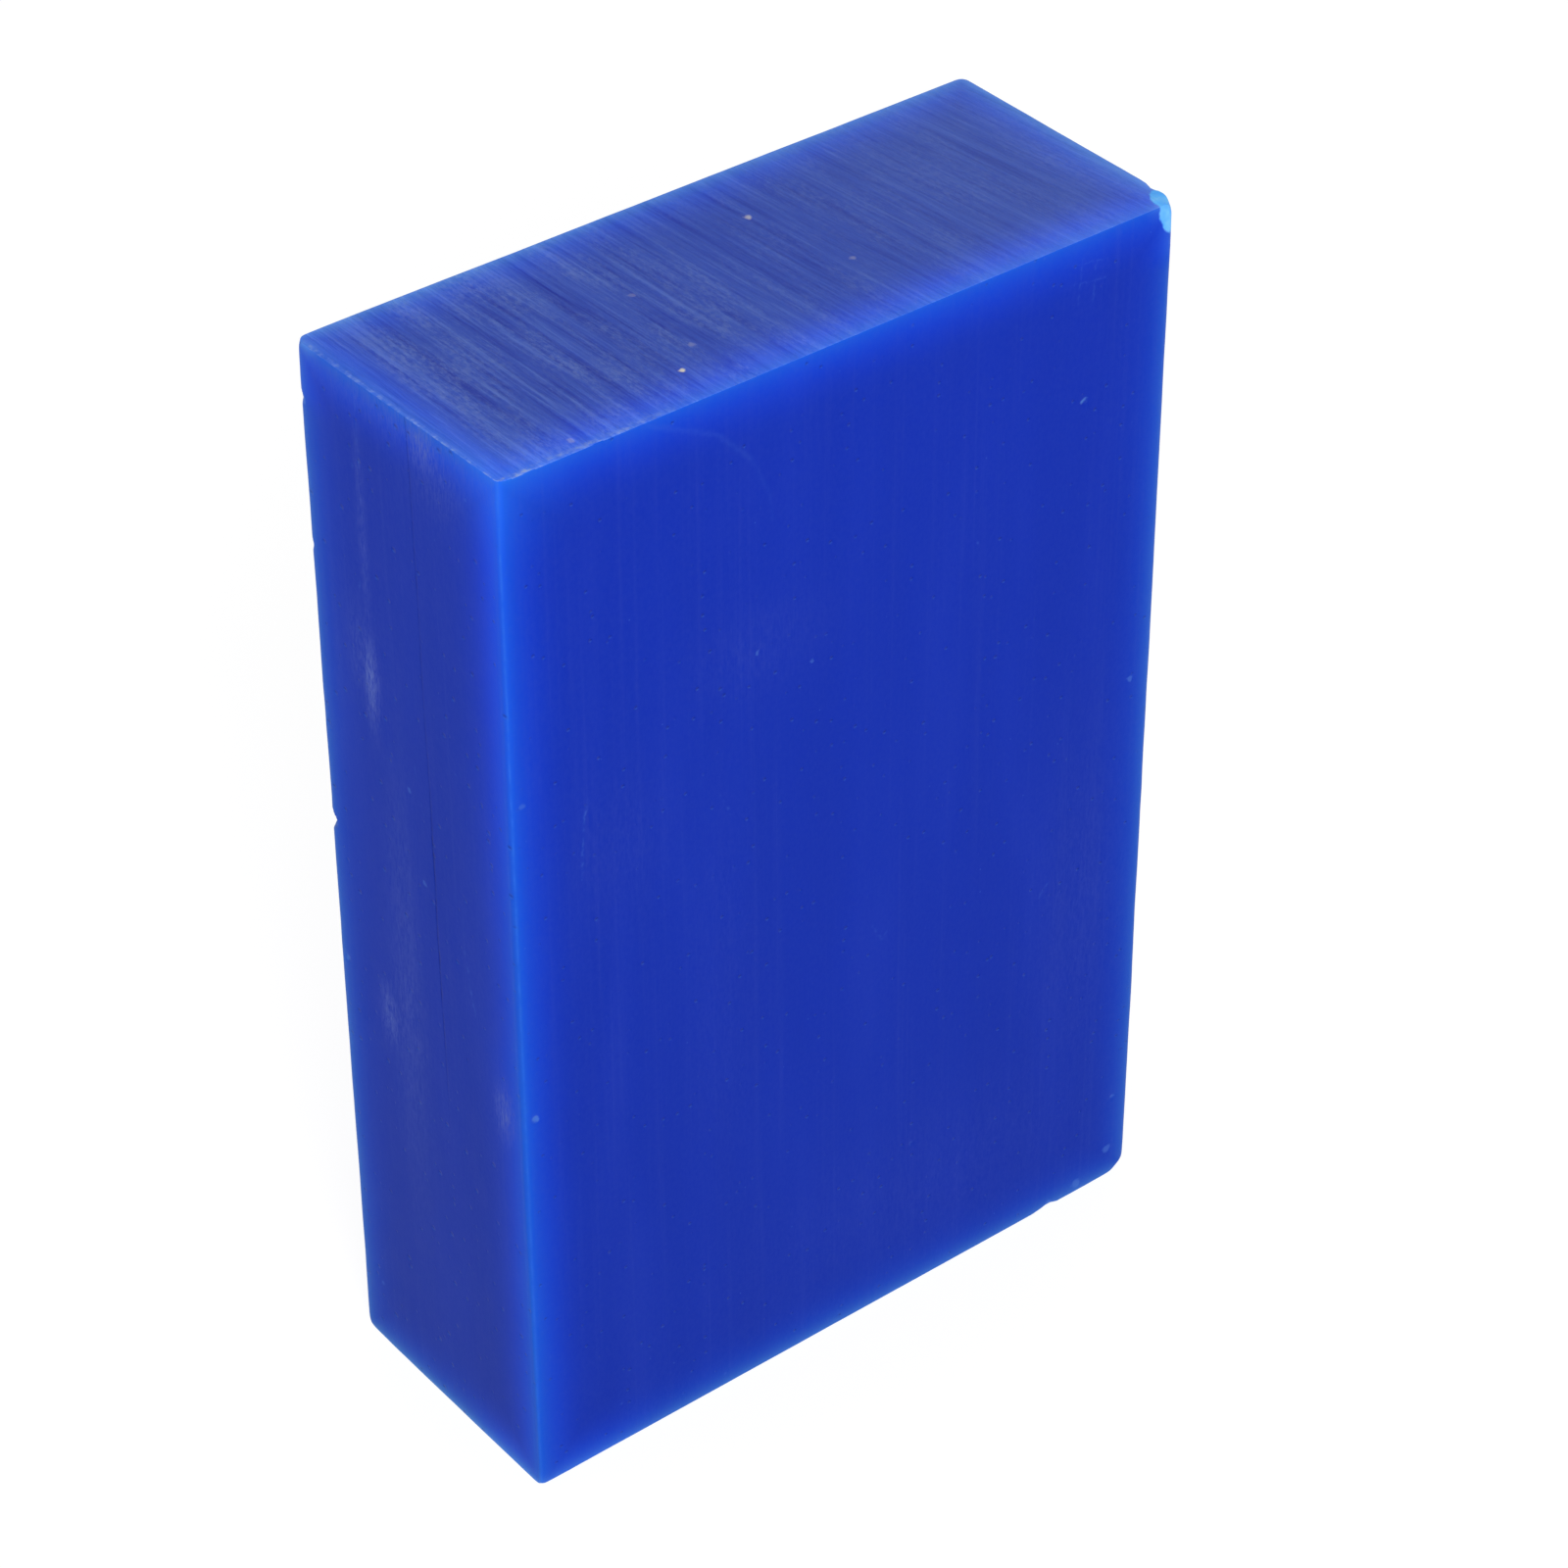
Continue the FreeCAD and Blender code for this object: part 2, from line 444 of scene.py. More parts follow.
def raise_burr(points, normals):
    """A ragged lip of wax that the saw left along the front of the sawn end."""
    across = points[:, 0] + HALF_X
    at_front = np.exp(-(((points[:, 1] + HALF_Y - BURR_BACK) / BURR_BACK) ** 2))
    up = np.clip(normals[:, 2], 0, 1) ** 2
    worn = np.exp(-(((across - 7) / 12) ** 4)) + 0.25
    lumps = np.clip(smooth_noise(points, (0.8, 0.8, 2), 31) + 0.35, 0, 1)
    points = points.copy()
    points[:, 2] += BURR_HEIGHT * at_front * up * worn * lumps
    points[:, 1] -= BURR_OVERHANG * at_front * up * worn * lumps
    return points


def cut_rear_edge(points):
    """The notch, the small ledge and the nick in the rear left edge."""
    out = unit(REAR_EDGE_OUT)
    arc_centre = np.array((-FLAT_X, FLAT_Y, 0.0))
    apex = arc_centre @ out + EDGE_RADIUS - 0.08
    rise = points[:, 2] - NOTCH_HEIGHT
    upper = np.clip(1 - (rise - 0.3) / 1.3, 0, 1)
    lower = np.clip(1 + (rise + 0.35) / 0.9, 0, 1)
    notch = NOTCH_DEPTH * np.minimum(upper, lower)
    nick = NICK_DEPTH * np.exp(-(((points[:, 2] - NICK_HEIGHT) / 0.55) ** 2))
    ledge = LEDGE_DEPTH * np.exp(-(((points[:, 2] - LEDGE_HEIGHT) / 0.5) ** 2))
    depth = np.maximum(np.maximum(notch, nick), ledge)
    rough = 1 + 0.25 * smooth_noise(points, (0.5, 0.5, 0.6), 41)
    cut = press(points, out, apex - depth * rough, 0.03)
    return np.where((depth > 0.02)[:, None], cut, points)


def break_corners(points):
    """The broken corner with its bite, the rubbed left corners and the worn corner."""
    out, level = facet(CORNER_CHIP, CHIP_LEGS)
    lumps = smooth_noise(points, 0.9, 51) * 0.08 + smooth_noise(points, 0.35, 52) * 0.04
    points = press(points, out, level + lumps, 0.34)
    gap = np.linalg.norm(points - np.array(BITE_PLACE), axis=1)
    hollow = BITE_DEPTH * np.exp(-((gap / BITE_REACH) ** 2))
    points = points - hollow[:, None] * unit((1, 0, 1))
    for corner, legs in RUBBED_CORNERS:
        out, level = facet(corner, legs)
        points = press(points, out, level, 0.3)
    out, level = facet(CORNER_WORN, WEAR_LEGS)
    lumps = smooth_noise(points, 1.1, 53) * 0.06
    return press(points, out, level + lumps, 0.3)


def nick_foot(points):
    """A small nick in the front of the foot."""
    across = points[:, 0] + HALF_X
    depth = FOOT_NICK_DEPTH * np.exp(-(((across - FOOT_NICK_ACROSS) / FOOT_NICK_REACH) ** 4))
    out = unit((0, -1, -1))
    apex = np.array((0, -HALF_Y + FOOT_RADIUS, FOOT_RADIUS)) @ out + FOOT_RADIUS - 0.1
    cut = press(points, out, apex - depth, 0.03)
    return np.where((depth > 0.01)[:, None], cut, points)


def sink_pits(points):
    """The larger hollows in the cast faces."""
    for place, out, radius, depth in PITS:
        gap = np.linalg.norm(points - np.array(place), axis=1)
        sunk = depth * np.exp(-((gap / radius) ** 2) * 1.6)
        points = points - sunk[:, None] * np.array(out, float)
    return points


def make_bar():
    """The bar's surface, one closed mesh in metres."""
    points, normals, faces = plain_bar()
    points = sink_faces(points, normals)
    points = ripple_walls(points, normals)
    points = saw_top(points, normals)
    points = raise_burr(points, normals)
    points = sink_pits(points)
    points = cut_rear_edge(points)
    points = break_corners(points)
    points = nick_foot(points)
    points = lean_near_edge(points)
    limit = np.array((HALF_X, HALF_Y, HEIGHT))
    points = np.clip(points, (-HALF_X, -HALF_Y, 0), limit)
    mesh = bpy.data.meshes.new("wax_bar_surface")
    mesh.from_pydata((points * MM).tolist(), [], faces)
    mesh.shade_smooth()
    mesh.validate()
    bar = bpy.data.objects.new("wax_bar_surface", mesh)
    bpy.context.scene.collection.objects.link(bar)
    return bar


# ---------------------------------------------------------------- material


class Number:
    """A number that varies over the surface. Arithmetic on it adds Math nodes."""

    def __init__(self, tree, socket):
        self.tree = tree
        self.socket = socket

    def math(self, operation, *others):
        """The result of a Math node whose first input is this number."""
        node = self.tree.nodes.new("ShaderNodeMath")
        node.operation = operation
        for place, value in enumerate((self, *others)):
            connect(self.tree, value, node.inputs[place])
        return Number(self.tree, node.outputs[0])

    def __add__(self, other):
        return self.math("ADD", other)

    def __sub__(self, other):
        return self.math("SUBTRACT", other)

    def __rsub__(self, other):
        return self.math("MULTIPLY_ADD", -1.0, other)

    def __mul__(self, other):
        return self.math("MULTIPLY", other)

    def __truediv__(self, other):
        return self.math("DIVIDE", other)

    def size(self):
        return self.math("ABSOLUTE")

    def least(self, other):
        return self.math("MINIMUM", other)

    def most(self, other):
        return self.math("MAXIMUM", other)

    def fade(self, reach):
        """1 at zero, falling to a third at reach."""
        return (self * (-1.0 / reach)).math("EXPONENT")

    def bell(self, reach):
        """1 at zero, falling smoothly to a third at reach on either side."""
        scaled = self * (1.0 / reach)
        return (scaled * scaled * -1.0).math("EXPONENT")

    def rise(self, low, high):
        """0 below low and 1 above high, with a smooth change between."""
        node = self.tree.nodes.new("ShaderNodeMapRange")
        node.interpolation_type = "SMOOTHSTEP"
        connect(self.tree, self, node.inputs["Value"])
        node.inputs["From Min"].default_value = low
        node.inputs["From Max"].default_value = high
        return Number(self.tree, node.outputs["Result"])


def connect(tree, value, socket):
    """Puts a constant, a number or an output into an input."""
    if isinstance(value, Number):
        tree.links.new(value.socket, socket)
    elif isinstance(value, bpy.types.NodeSocket):
        tree.links.new(value, socket)
    else:
        socket.default_value = value


def vector_node(tree, operation, *values):
    """A Vector Math node with its inputs filled in."""
    node = tree.nodes.new("ShaderNodeVectorMath")
    node.operation = operation
    for place, value in enumerate(values):
        connect(tree, value, node.inputs[place])
    return node


def combine(tree, x, y, z):
    """A vector made of three numbers."""
    node = tree.nodes.new("ShaderNodeCombineXYZ")
    for socket, value in zip(node.inputs, (x, y, z)):
        connect(tree, value, socket)
    return node.outputs[0]


def noise(tree, x, y, z, detail=2.0, rough=0.5):
    """Noise about 0, mostly between -1 and 1, over coordinates already divided by its size."""
    node = tree.nodes.new("ShaderNodeTexNoise")
    node.inputs["Scale"].default_value = 1.0
    node.inputs["Detail"].default_value = detail
    node.inputs["Roughness"].default_value = rough
    tree.links.new(combine(tree, x, y, z), node.inputs["Vector"])
    return (Number(tree, node.outputs[0]) - 0.5) * 3.0


def mix(tree, share, first, second):
    """first where share is 0 and second where it is 1."""
    node = tree.nodes.new("ShaderNodeMix")
    node.data_type = "RGBA"
    connect(tree, share, node.inputs[0])
    for socket, colour in ((node.inputs[6], first), (node.inputs[7], second)):
        connect(tree, tint(colour) if isinstance(colour, tuple) else colour, socket)
    return node.outputs[2]


def add_light(tree, amount, base, colour):
    """base with amount times a colour added to it."""
    node = tree.nodes.new("ShaderNodeMix")
    node.data_type = "RGBA"
    node.blend_type = "ADD"
    connect(tree, amount, node.inputs[0])
    connect(tree, base, node.inputs[6])
    node.inputs[7].default_value = tint(colour)
    return node.outputs[2]


def tint(colour):
    """A colour with its alpha."""
    return (*colour[:3], 1.0)


class Surface:
    """The places and directions that the wax material is worked out from."""

    def __init__(self, tree):
        self.tree = tree
        place = tree.nodes.new("ShaderNodeTexCoord")
        scale = vector_node(tree, "SCALE", place.outputs["Object"])
        scale.inputs["Scale"].default_value = 1 / MM
        self.point = scale.outputs[0]
        self.x, self.y, self.z = self.split(self.point)
        nx, _, nz = self.split(place.outputs["Normal"])
        self.left = (nx * -1.0).rise(0.35, 0.95)
        self.right = nx.rise(0.35, 0.95)
        self.top = nz.rise(0.6, 0.95)
        self.wall = 1.0 - nz.size().rise(0.5, 0.95)
        self.edge = self.edge_distance()

    def split(self, vector):
        """The three numbers of a vector."""
        node = self.tree.nodes.new("ShaderNodeSeparateXYZ")
        self.tree.links.new(vector, node.inputs[0])
        return [Number(self.tree, socket) for socket in node.outputs]

    def edge_distance(self):
        """How far a point of a face is from that face's nearest edge."""
        dx = HALF_X - self.x.size()
        dy = HALF_Y - self.y.size()
        dz = self.z.least(HEIGHT - self.z)
        return dx.least(dy).most(dx.most(dy).least(dz)).most(0.0)

    def saw_line(self):
        """The same fan of saw lines as in the mesh."""
        across = self.x + HALF_X
        back = self.y + HALF_Y
        return self.x + (across * SAW_FAN - SAW_START) * back

    def noise(self, size, offset=0.0, detail=2.0, rough=0.5):
        """Noise with features of a given size along each axis; offset picks another pattern."""
        sx, sy, sz = size
        return noise(
            self.tree,
            self.x * (1.0 / sx) + offset,
            self.y * (1.0 / sy) + offset,
            self.z * (1.0 / sz) + offset,
            detail,
            rough,
        )

    def distance(self, place, point=None):
        """How far the surface is from a place."""
        node = vector_node(self.tree, "DISTANCE", point or self.point, place)
        return Number(self.tree, node.outputs["Value"])

    def line_distance(self, start, end, point):
        """How far the surface is from a straight line between two places."""
        run = Vector(end) - Vector(start)
        away = vector_node(self.tree, "SUBTRACT", point, start).outputs[0]
        dot = vector_node(self.tree, "DOT_PRODUCT", away, tuple(run)).outputs["Value"]
        share = (Number(self.tree, dot) * (1.0 / run.length_squared)).most(0.0).least(1.0)
        along_run = vector_node(self.tree, "SCALE", tuple(run))
        connect(self.tree, share, along_run.inputs["Scale"])
        node = vector_node(self.tree, "DISTANCE", away, along_run.outputs[0])
        return Number(self.tree, node.outputs["Value"])


# Marks on each face. A scratch is its strength, half width and the places it passes through.
SCRATCHES = {
    "front": [
        (0.13, 0.34, [on_front(19, 140), on_front(28, 135.3), on_front(32.5, 130.6)]),
        (0.07, 0.3, [on_front(32.5, 130.6), on_front(35, 125.2), on_front(35.4, 121.8)]),
        (0.45, 0.16, [on_front(10.3, 96.2), on_front(9.5, 94.4), on_front(9.0, 86.1)]),
        (0.35, 0.16, [on_front(28, 88.6), on_front(29.5, 85.1)]),
        (0.35, 0.18, [on_front(50, 59.4), on_front(51.3, 56.8), on_front(52.2, 57.6)]),
        (0.4, 0.2, [on_front(75.7, 51.1), on_front(77.2, 53.0)]),
        (0.25, 0.12, [on_front(77.1, 137.5), on_front(82.2, 136.7)]),
        (0.2, 0.12, [on_front(77.3, 135.0), on_front(81.9, 134.4)]),
        (0.25, 0.12, [on_front(78.5, 137.9), on_front(78.1, 132.2)]),
        (0.2, 0.12, [on_front(80.5, 137.7), on_front(80.3, 131.8)]),
    ],
    "left": [
        (0.35, 0.14, [on_left(18.0, 94.5), on_left(19.4, 88.0)]),
        (0.3, 0.14, [on_left(26.0, 74.0), on_left(27.5, 66.0)]),
        (0.4, 0.13, [on_left(10.9, 139.5), on_left(10.7, 121.0)]),
        (0.25, 0.12, [on_left(9.6, 132.0), on_left(9.5, 110.0)]),
        (0.4, 0.12, [on_left(21.0, 140.0), on_left(21.3, 133.5)]),
        (0.3, 0.12, [on_left(24.4, 139.0), on_left(24.6, 130.0)]),
    ],
    "hidden": [
        (0.4, 0.15, [on_back(18, 119), on_back(27, 103), on_back(31, 87)]),
        (0.4, 0.15, [on_back(60, 65), on_back(72, 59)]),
        (0.4, 0.15, [on_back(47, 30), on_back(44, 22), on_back(45, 14)]),
        (0.4, 0.15, [on_right(11, 91), on_right(14, 73)]),
        (0.4, 0.15, [on_right(24, 40), on_right(22, 31)]),
    ],
}

# Specks of bruised wax, or of pale dust on the sawn end: strength, radius, place.
SPECKS = {
    "front": [
        (0.9, 0.5, on_front(79.6, 119.2)),
        (0.5, 0.4, on_front(33.4, 105.4)),
        (0.4, 0.4, on_front(40.9, 100.9)),
        (0.4, 0.5, on_front(1.5, 99.4)),
        (0.8, 0.6, on_front(1.4, 56.1)),
        (0.45, 0.4, on_front(56.4, 22.8)),
        (0.35, 0.35, on_front(48.4, 47.5)),
        (0.3, 0.4, on_front(64.5, 106.5)),
        (0.5, 0.4, on_front(89.3, 12.9)),
        (0.4, 0.7, on_front(88.6, 4.6)),
        (0.9, 0.9, on_front(79.0, 0.3)),
        (0.45, 0.8, on_front(83.6, 1.5)),
        (0.5, 0.5, on_front(88.6, 77.5)),
    ],
    "left": [
        (0.9, 0.8, on_left(0.7, 133.4)),
        (0.6, 0.5, on_left(1.75, 58.2)),
        (0.4, 0.45, on_left(18.8, 79.2)),
        (0.4, 0.4, on_left(16.75, 90.8)),
        (0.3, 0.4, on_left(4.5, 9.5)),
    ],
    "top": [
        (0.55, 0.6, on_top(53, 26.6)),
        (1.0, 0.5, on_top(27.9, 5.9)),
        (0.14, 0.5, on_top(33, 21.2)),
        (0.16, 0.5, on_top(31.9, 9.3)),
        (0.2, 0.45, on_top(56.3, 12.5)),
        (0.2, 0.5, on_top(10.8, 2.1)),
    ],
    "hidden": [
        (0.5, 0.5, on_back(22, 96)),
        (0.5, 0.45, on_back(64, 38)),
        (0.5, 0.45, on_right(9.5, 51)),
    ],
}

# Rubbed patches: strength, half width, half height, place.
SCUFFS = {
    "front": [
        (0.1, 9.0, 6.0, on_front(34.0, 106.0)),
        (0.11, 7.0, 26.0, on_front(82.0, 48.0)),
        (0.08, 7.0, 10.0, on_front(14.0, 88.0)),
        (0.07, 28.0, 12.0, on_front(60.0, 16.0)),
        (0.06, 5.0, 30.0, on_front(28.0, 60.0)),
    ],
    "left": [
        (1.2, 1.3, 5.5, on_left(10.5, 102.0)),
        (0.38, 0.8, 16.0, on_left(10.6, 121.0)),
        (0.35, 2.6, 6.0, on_left(9.0, 105.0)),
        (0.8, 1.6, 4.0, on_left(10.0, 55.0)),
        (0.8, 1.6, 3.4, on_left(32.4, 55.0)),
        (0.95, 2.6, 3.2, on_left(22.8, 138.4)),
        (0.3, 5.0, 5.0, on_left(25.0, 136.0)),
        (0.35, 16.0, 3.0, on_left(18.0, 139.6)),
        (0.3, 3.0, 30.0, on_left(14.0, 60.0)),
    ],
    "hidden": [
        (0.35, 5.0, 9.0, on_back(30.0, 70.0)),
        (0.3, 7.0, 5.0, on_back(66.0, 104.0)),
        (0.5, 1.6, 6.0, on_right(20.0, 99.0)),
        (0.3, 3.0, 12.0, on_right(12.0, 40.0)),
    ],
}

# The wax in its different lights and states.
FRONT_BLUE = (0.0034, 0.0204, 0.290)
# The sides' blue is a darker, greyer copy of the front's, with painted shade and painted sheen.
SIDE_SHADE_AND_SHEEN_BLUE = (0.0050, 0.0232, 0.264)
# The sawn end's blues carry painted sheen; their dark and pale streaks are partly painted shading
# of the saw ridges.
SAWN_SHEEN_BLUE = (0.0450, 0.0860, 0.425)
SAWN_DARK = (0.0260, 0.0440, 0.325)
SAWN_PALE = (0.0900, 0.1560, 0.520)
SAWN_DUST = (0.1500, 0.2150, 0.480)
# Painted light glowing through the wax near its edges, added to the colour.
GLOW = (0.003, 0.056, 0.025)
WIDE_GLOW = (0.0, 0.003, 0.178)
SAWN_GLOW = (0.0, 0.006, 0.160)
NEAR_CORNER_GLOW = (0.006, 0.048, 0.100)
LEFT_GLOW = (0.0, 0.003, 0.115)
RIM_LIGHT = (0.040, 0.085, 0.075)
# Bruised wax, also used for the painted highlight on the lower half of each small pit.
BRUISE_AND_PIT_HIGHLIGHT = (0.062, 0.165, 0.520)
HAZE = (0.088, 0.130, 0.410)
# Dark lines, also used for the painted shade in the upper half of each small pit.
DARK_LINE_AND_PIT_SHADE = (0.001, 0.007, 0.140)
BURR_PALE = (0.290, 0.390, 0.700)
# The broken corner's pale crushed wax, with painted glow of light through the thin broken wax.
CHIP_BLUE_AND_GLOW = (0.070, 0.330, 0.860)
CHIP_RIM_AND_GLOW = (0.160, 0.460, 0.900)
SPECK_WHITE = (0.640, 0.600, 0.540)
# Painted highlights along the rounded front left edge.
RIDGE_HIGHLIGHT = (0.030, 0.150, 0.640)

# How far the painted light inside the edges reaches: the wide blue band, the same band on the
# sawn end, the narrow bright line, and the pale rim where light comes through.
WIDE_REACH = 4.6
SAWN_REACH = 4.7
GLOW_REACH = 1.9
RIM_REACH = 0.85

# The small pits and the dust: how far apart, how large, and what share of them is there.
PIT_PATTERN = (1.9, 0.36, 0.75)
DUST_PATTERN = (3.6, 0.3, 0.6)
DUST_SHIFT = 40.0

# The mould line: how far it is from the rear edge, and at what height.
MOULD_LINE_ACROSS = 20.7
MOULD_LINE_HEIGHT = 91.0

# The groups of faces, each with a material of its own.
FACES = ("front", "left", "top", "hidden")


def cast_colour(surface):
    """The cast wax away from edges: deep on the broad faces; on the sides a duller copy with
    painted shade and painted sheen; a little bluer towards the top.
    """
    tree = surface.tree
    # Painted shade and sheen: the sides get a darker, greyer copy of the blue.
    sides = surface.left.most(surface.right)
    colour = mix(tree, sides, FRONT_BLUE, SIDE_SHADE_AND_SHEEN_BLUE)
    drift = surface.noise((9, 9, 55), 3.1, detail=2.0)
    colour = add_light(tree, surface.z * (1 / HEIGHT), colour, (0.0, 0.0015, 0.052))
    colour = add_light(tree, drift.rise(-0.8, 0.9), colour, (0.0, 0.001, 0.018))
    return add_light(tree, drift.rise(0.0, 1.2), colour, (0.003, 0.004, 0.006))


def saw_streaks(surface, detail):
    """Light and dark along the saw lines, about 0 to 1."""
    tree = surface.tree
    line = surface.saw_line()
    ragged = surface.noise((0.4, 0.6, 1), 3.3, detail=1.0) * 0.12
    fine = noise(tree, line * (1 / 0.42) + ragged, surface.y * (1 / 12), 0.5, detail, 0.6)
    broad = noise(tree, line * (1 / 2.2) + ragged, surface.y * (1 / 60), 4.5, detail)
    left = 1.0 - (surface.x + HALF_X).rise(20.0, 50.0)
    return (fine * 0.42 + broad * 0.28) * (left * 0.35 + 0.85) + 0.5


def sawn_colour(surface):
    """The sawn end: blue greyed by painted sheen, with light and dark along the saw lines that is
    partly the wax's own streaks and partly painted shading of the saw ridges, and whitish
    mottling.
    """
    tree = surface.tree
    streaks = saw_streaks(surface, 2.0)
    across = surface.x + HALF_X
    # Light and dark along the saw lines: partly the wax's own streaks, partly painted shading of
    # the saw ridges.
    colour = mix(tree, streaks.rise(0.0, 0.55), SAWN_DARK, SAWN_SHEEN_BLUE)
    colour = mix(tree, streaks.rise(0.45, 1.05), colour, SAWN_PALE)
    left = 1.0 - across.rise(14.0, 60.0)
    grain = surface.noise((0.4, 1.0, 1), 6.0, detail=3.0, rough=0.7)
    patch = surface.noise((2.6, 12, 1), 9.0, detail=1.0)
    mottle = grain.rise(-0.5, 0.9) * patch.rise(-0.8, 0.7) * (left * 0.44 + 0.3)
    dust = (mottle + across.rise(45.0, 80.0) * 0.13) * across.rise(1.5, 5.5)
    return mix(tree, dust, colour, SAWN_DUST)


def edge_light(surface, colour):
    """Painted light: the glow through the wax near its edges, added to the colour as lighter
    bands and rims.
    """
    tree = surface.tree
    edge = surface.edge * (surface.noise((14, 14, 20), 5.0, detail=2.0) * 0.14 + 1.0)
    near_corner = (1.0 - surface.x.rise(-HALF_X + 7, -HALF_X + 20)) * (
        1.0 - surface.y.rise(-HALF_Y + 7, -HALF_Y + 16)
    )
    creases = surface.z.rise(HEIGHT - 9, HEIGHT - 5)
    open_edge = 1.0 - near_corner.most(creases)
    gain = surface.left.most(surface.right) * 0.2 + surface.top * 0.3 + 1.0
    wide = edge.bell(WIDE_REACH) * (1.0 - open_edge * 0.52) * gain
    colour = add_light(tree, wide, colour, WIDE_GLOW)
    near_top = surface.distance((-HALF_X, -HALF_Y, HEIGHT)).bell(7.0) * 0.7
    colour = add_light(tree, near_top, colour, NEAR_CORNER_GLOW)
    upper = surface.z.rise(72.0, 112.0) * 0.7 + surface.z.rise(115.0, 138.0) * 0.3
    beside = surface.left * (surface.y + HALF_Y).most(0.0).bell(6.5) * upper
    colour = add_light(tree, beside, colour, LEFT_GLOW)
    from_front = (surface.y + HALF_Y).most(0.0).bell(SAWN_REACH)
    from_left = 1.0 - (surface.x + HALF_X).rise(1.8, 3.8)
    sawn = surface.top * (from_front + from_left * 0.35)
    colour = add_light(tree, sawn, colour, SAWN_GLOW)
    colour = add_light(tree, edge.fade(GLOW_REACH) * gain, colour, GLOW)
    far_right = surface.x.rise(HALF_X - 5, HALF_X - 1.5)
    far_back = surface.y.rise(HALF_Y - 5, HALF_Y - 1.5)
    far_top = far_right.most(far_back) * creases
    foot = surface.z.fade(RIM_REACH) * surface.wall
    rim = (edge.fade(RIM_REACH) * open_edge.most(far_top)).most(foot)
    rim = rim * (gain + surface.left * 0.3)
    return add_light(tree, rim, colour, RIM_LIGHT)


def strongest(marks):
    """The strongest of several marks at each place."""
    total = marks[0]
    for mark in marks[1:]:
        total = total.most(mark)
    return total


def line_mask(surface, face, point):
    """How strongly each place is scratched."""
    return strongest(
        [
            surface.line_distance(start, end, point).bell(width) * strength
            for strength, width, places in SCRATCHES[face]
            for start, end in zip(places, places[1:])
        ]
    )


def speck_mask(surface, face, point):
    """How strongly each place is one of the listed specks."""
    return strongest(
        [
            (1.0 - surface.distance(place, point).rise(size * 0.5, size * 1.1)) * strength
            for strength, size, place in SPECKS[face]
        ]
    )


def scuff_mask(surface, face):
    """Soft patches where the surface is rubbed pale, broken into upright streaks."""
    patches = []
    for strength, half_width, half_height, place in SCUFFS[face]:
        gap = vector_node(surface.tree, "SUBTRACT", surface.point, place).outputs[0]
        shrink = (1 / half_width, 1 / half_width, 1 / half_height)
        scaled = vector_node(surface.tree, "MULTIPLY", gap, shrink).outputs[0]
        node = vector_node(surface.tree, "LENGTH", scaled)
        patches.append(Number(surface.tree, node.outputs["Value"]).bell(1.0) * strength)
    grain = surface.noise((0.32, 0.32, 1.5), 2.0, detail=3.0, rough=0.75)
    return strongest(patches) * grain.rise(-0.6, 0.8)


def wandering_point(surface):
    """The surface point moved a little, so that drawn lines and specks are ragged."""
    tree = surface.tree
    node = tree.nodes.new("ShaderNodeTexNoise")
    node.inputs["Scale"].default_value = 1.1
    node.inputs["Detail"].default_value = 2.0
    tree.links.new(surface.point, node.inputs["Vector"])
    centred = vector_node(tree, "SUBTRACT", node.outputs["Color"], (0.5, 0.5, 0.5))
    scaled = vector_node(tree, "SCALE", centred.outputs[0])
    scaled.inputs["Scale"].default_value = 0.8
    return vector_node(tree, "ADD", surface.point, scaled.outputs[0]).outputs[0]


def mould_line(surface):
    """The thin dark wavering line down the left side."""
    wander = surface.noise((400, 400, 9), 1.3, detail=2.0) * 0.2
    slant = (surface.z - MOULD_LINE_HEIGHT) * -0.010
    line = surface.y - (HALF_Y - MOULD_LINE_ACROSS) + wander + slant
    ends = surface.z.rise(42.0, 66.0)
    patchy = surface.noise((3, 3, 1.6), 7.7, detail=3.0, rough=0.7).rise(-0.9, 0.7)
    faint = 1.0 - surface.z.rise(84.0, 96.0) * 0.45
    return line.bell(0.15) * ends * patchy * faint


class Dimples:
    """Small round marks scattered over the surface, with the upper half of each known, where the
    pits get painted shade.
    """

    def __init__(self, surface, spacing, radius, kept, offset=0.0):
        tree = surface.tree
        node = tree.nodes.new("ShaderNodeTexVoronoi")
        node.inputs["Scale"].default_value = 1 / spacing
        moved = vector_node(tree, "ADD", surface.point, (offset, offset, offset)).outputs[0]
        tree.links.new(moved, node.inputs["Vector"])
        away = vector_node(tree, "SUBTRACT", moved, node.outputs["Position"]).outputs[0]
        chosen = tree.nodes.new("ShaderNodeSeparateColor")
        tree.links.new(node.outputs["Color"], chosen.inputs[0])
        there = Number(tree, chosen.outputs[0]).rise(1 - kept, 1.1 - kept)
        size = Number(tree, chosen.outputs[1]) * radius + radius * 0.4
        gap = Number(tree, node.outputs["Distance"]) * spacing
        self.inside = (1.0 - (gap / size).rise(0.3, 1.0)) * there
        self.upper = (surface.split(away)[2] / size).rise(-0.5, 0.4)


def chip_gap(surface):
    """How far a point is from the broken corner: 1 at the border of its pale crushed wax with
    painted glow.
    """
    away = vector_node(surface.tree, "SUBTRACT", surface.point, CORNER_CHIP).outputs[0]
    shrink = tuple(1 / reach for reach in CHIP_REACH)
    scaled = vector_node(surface.tree, "MULTIPLY", away, shrink).outputs[0]
    node = vector_node(surface.tree, "LENGTH", scaled)
    ragged = surface.noise((1.3, 1.3, 1.3), 1.0, detail=3.0) * 0.09
    return Number(surface.tree, node.outputs["Value"]) + ragged


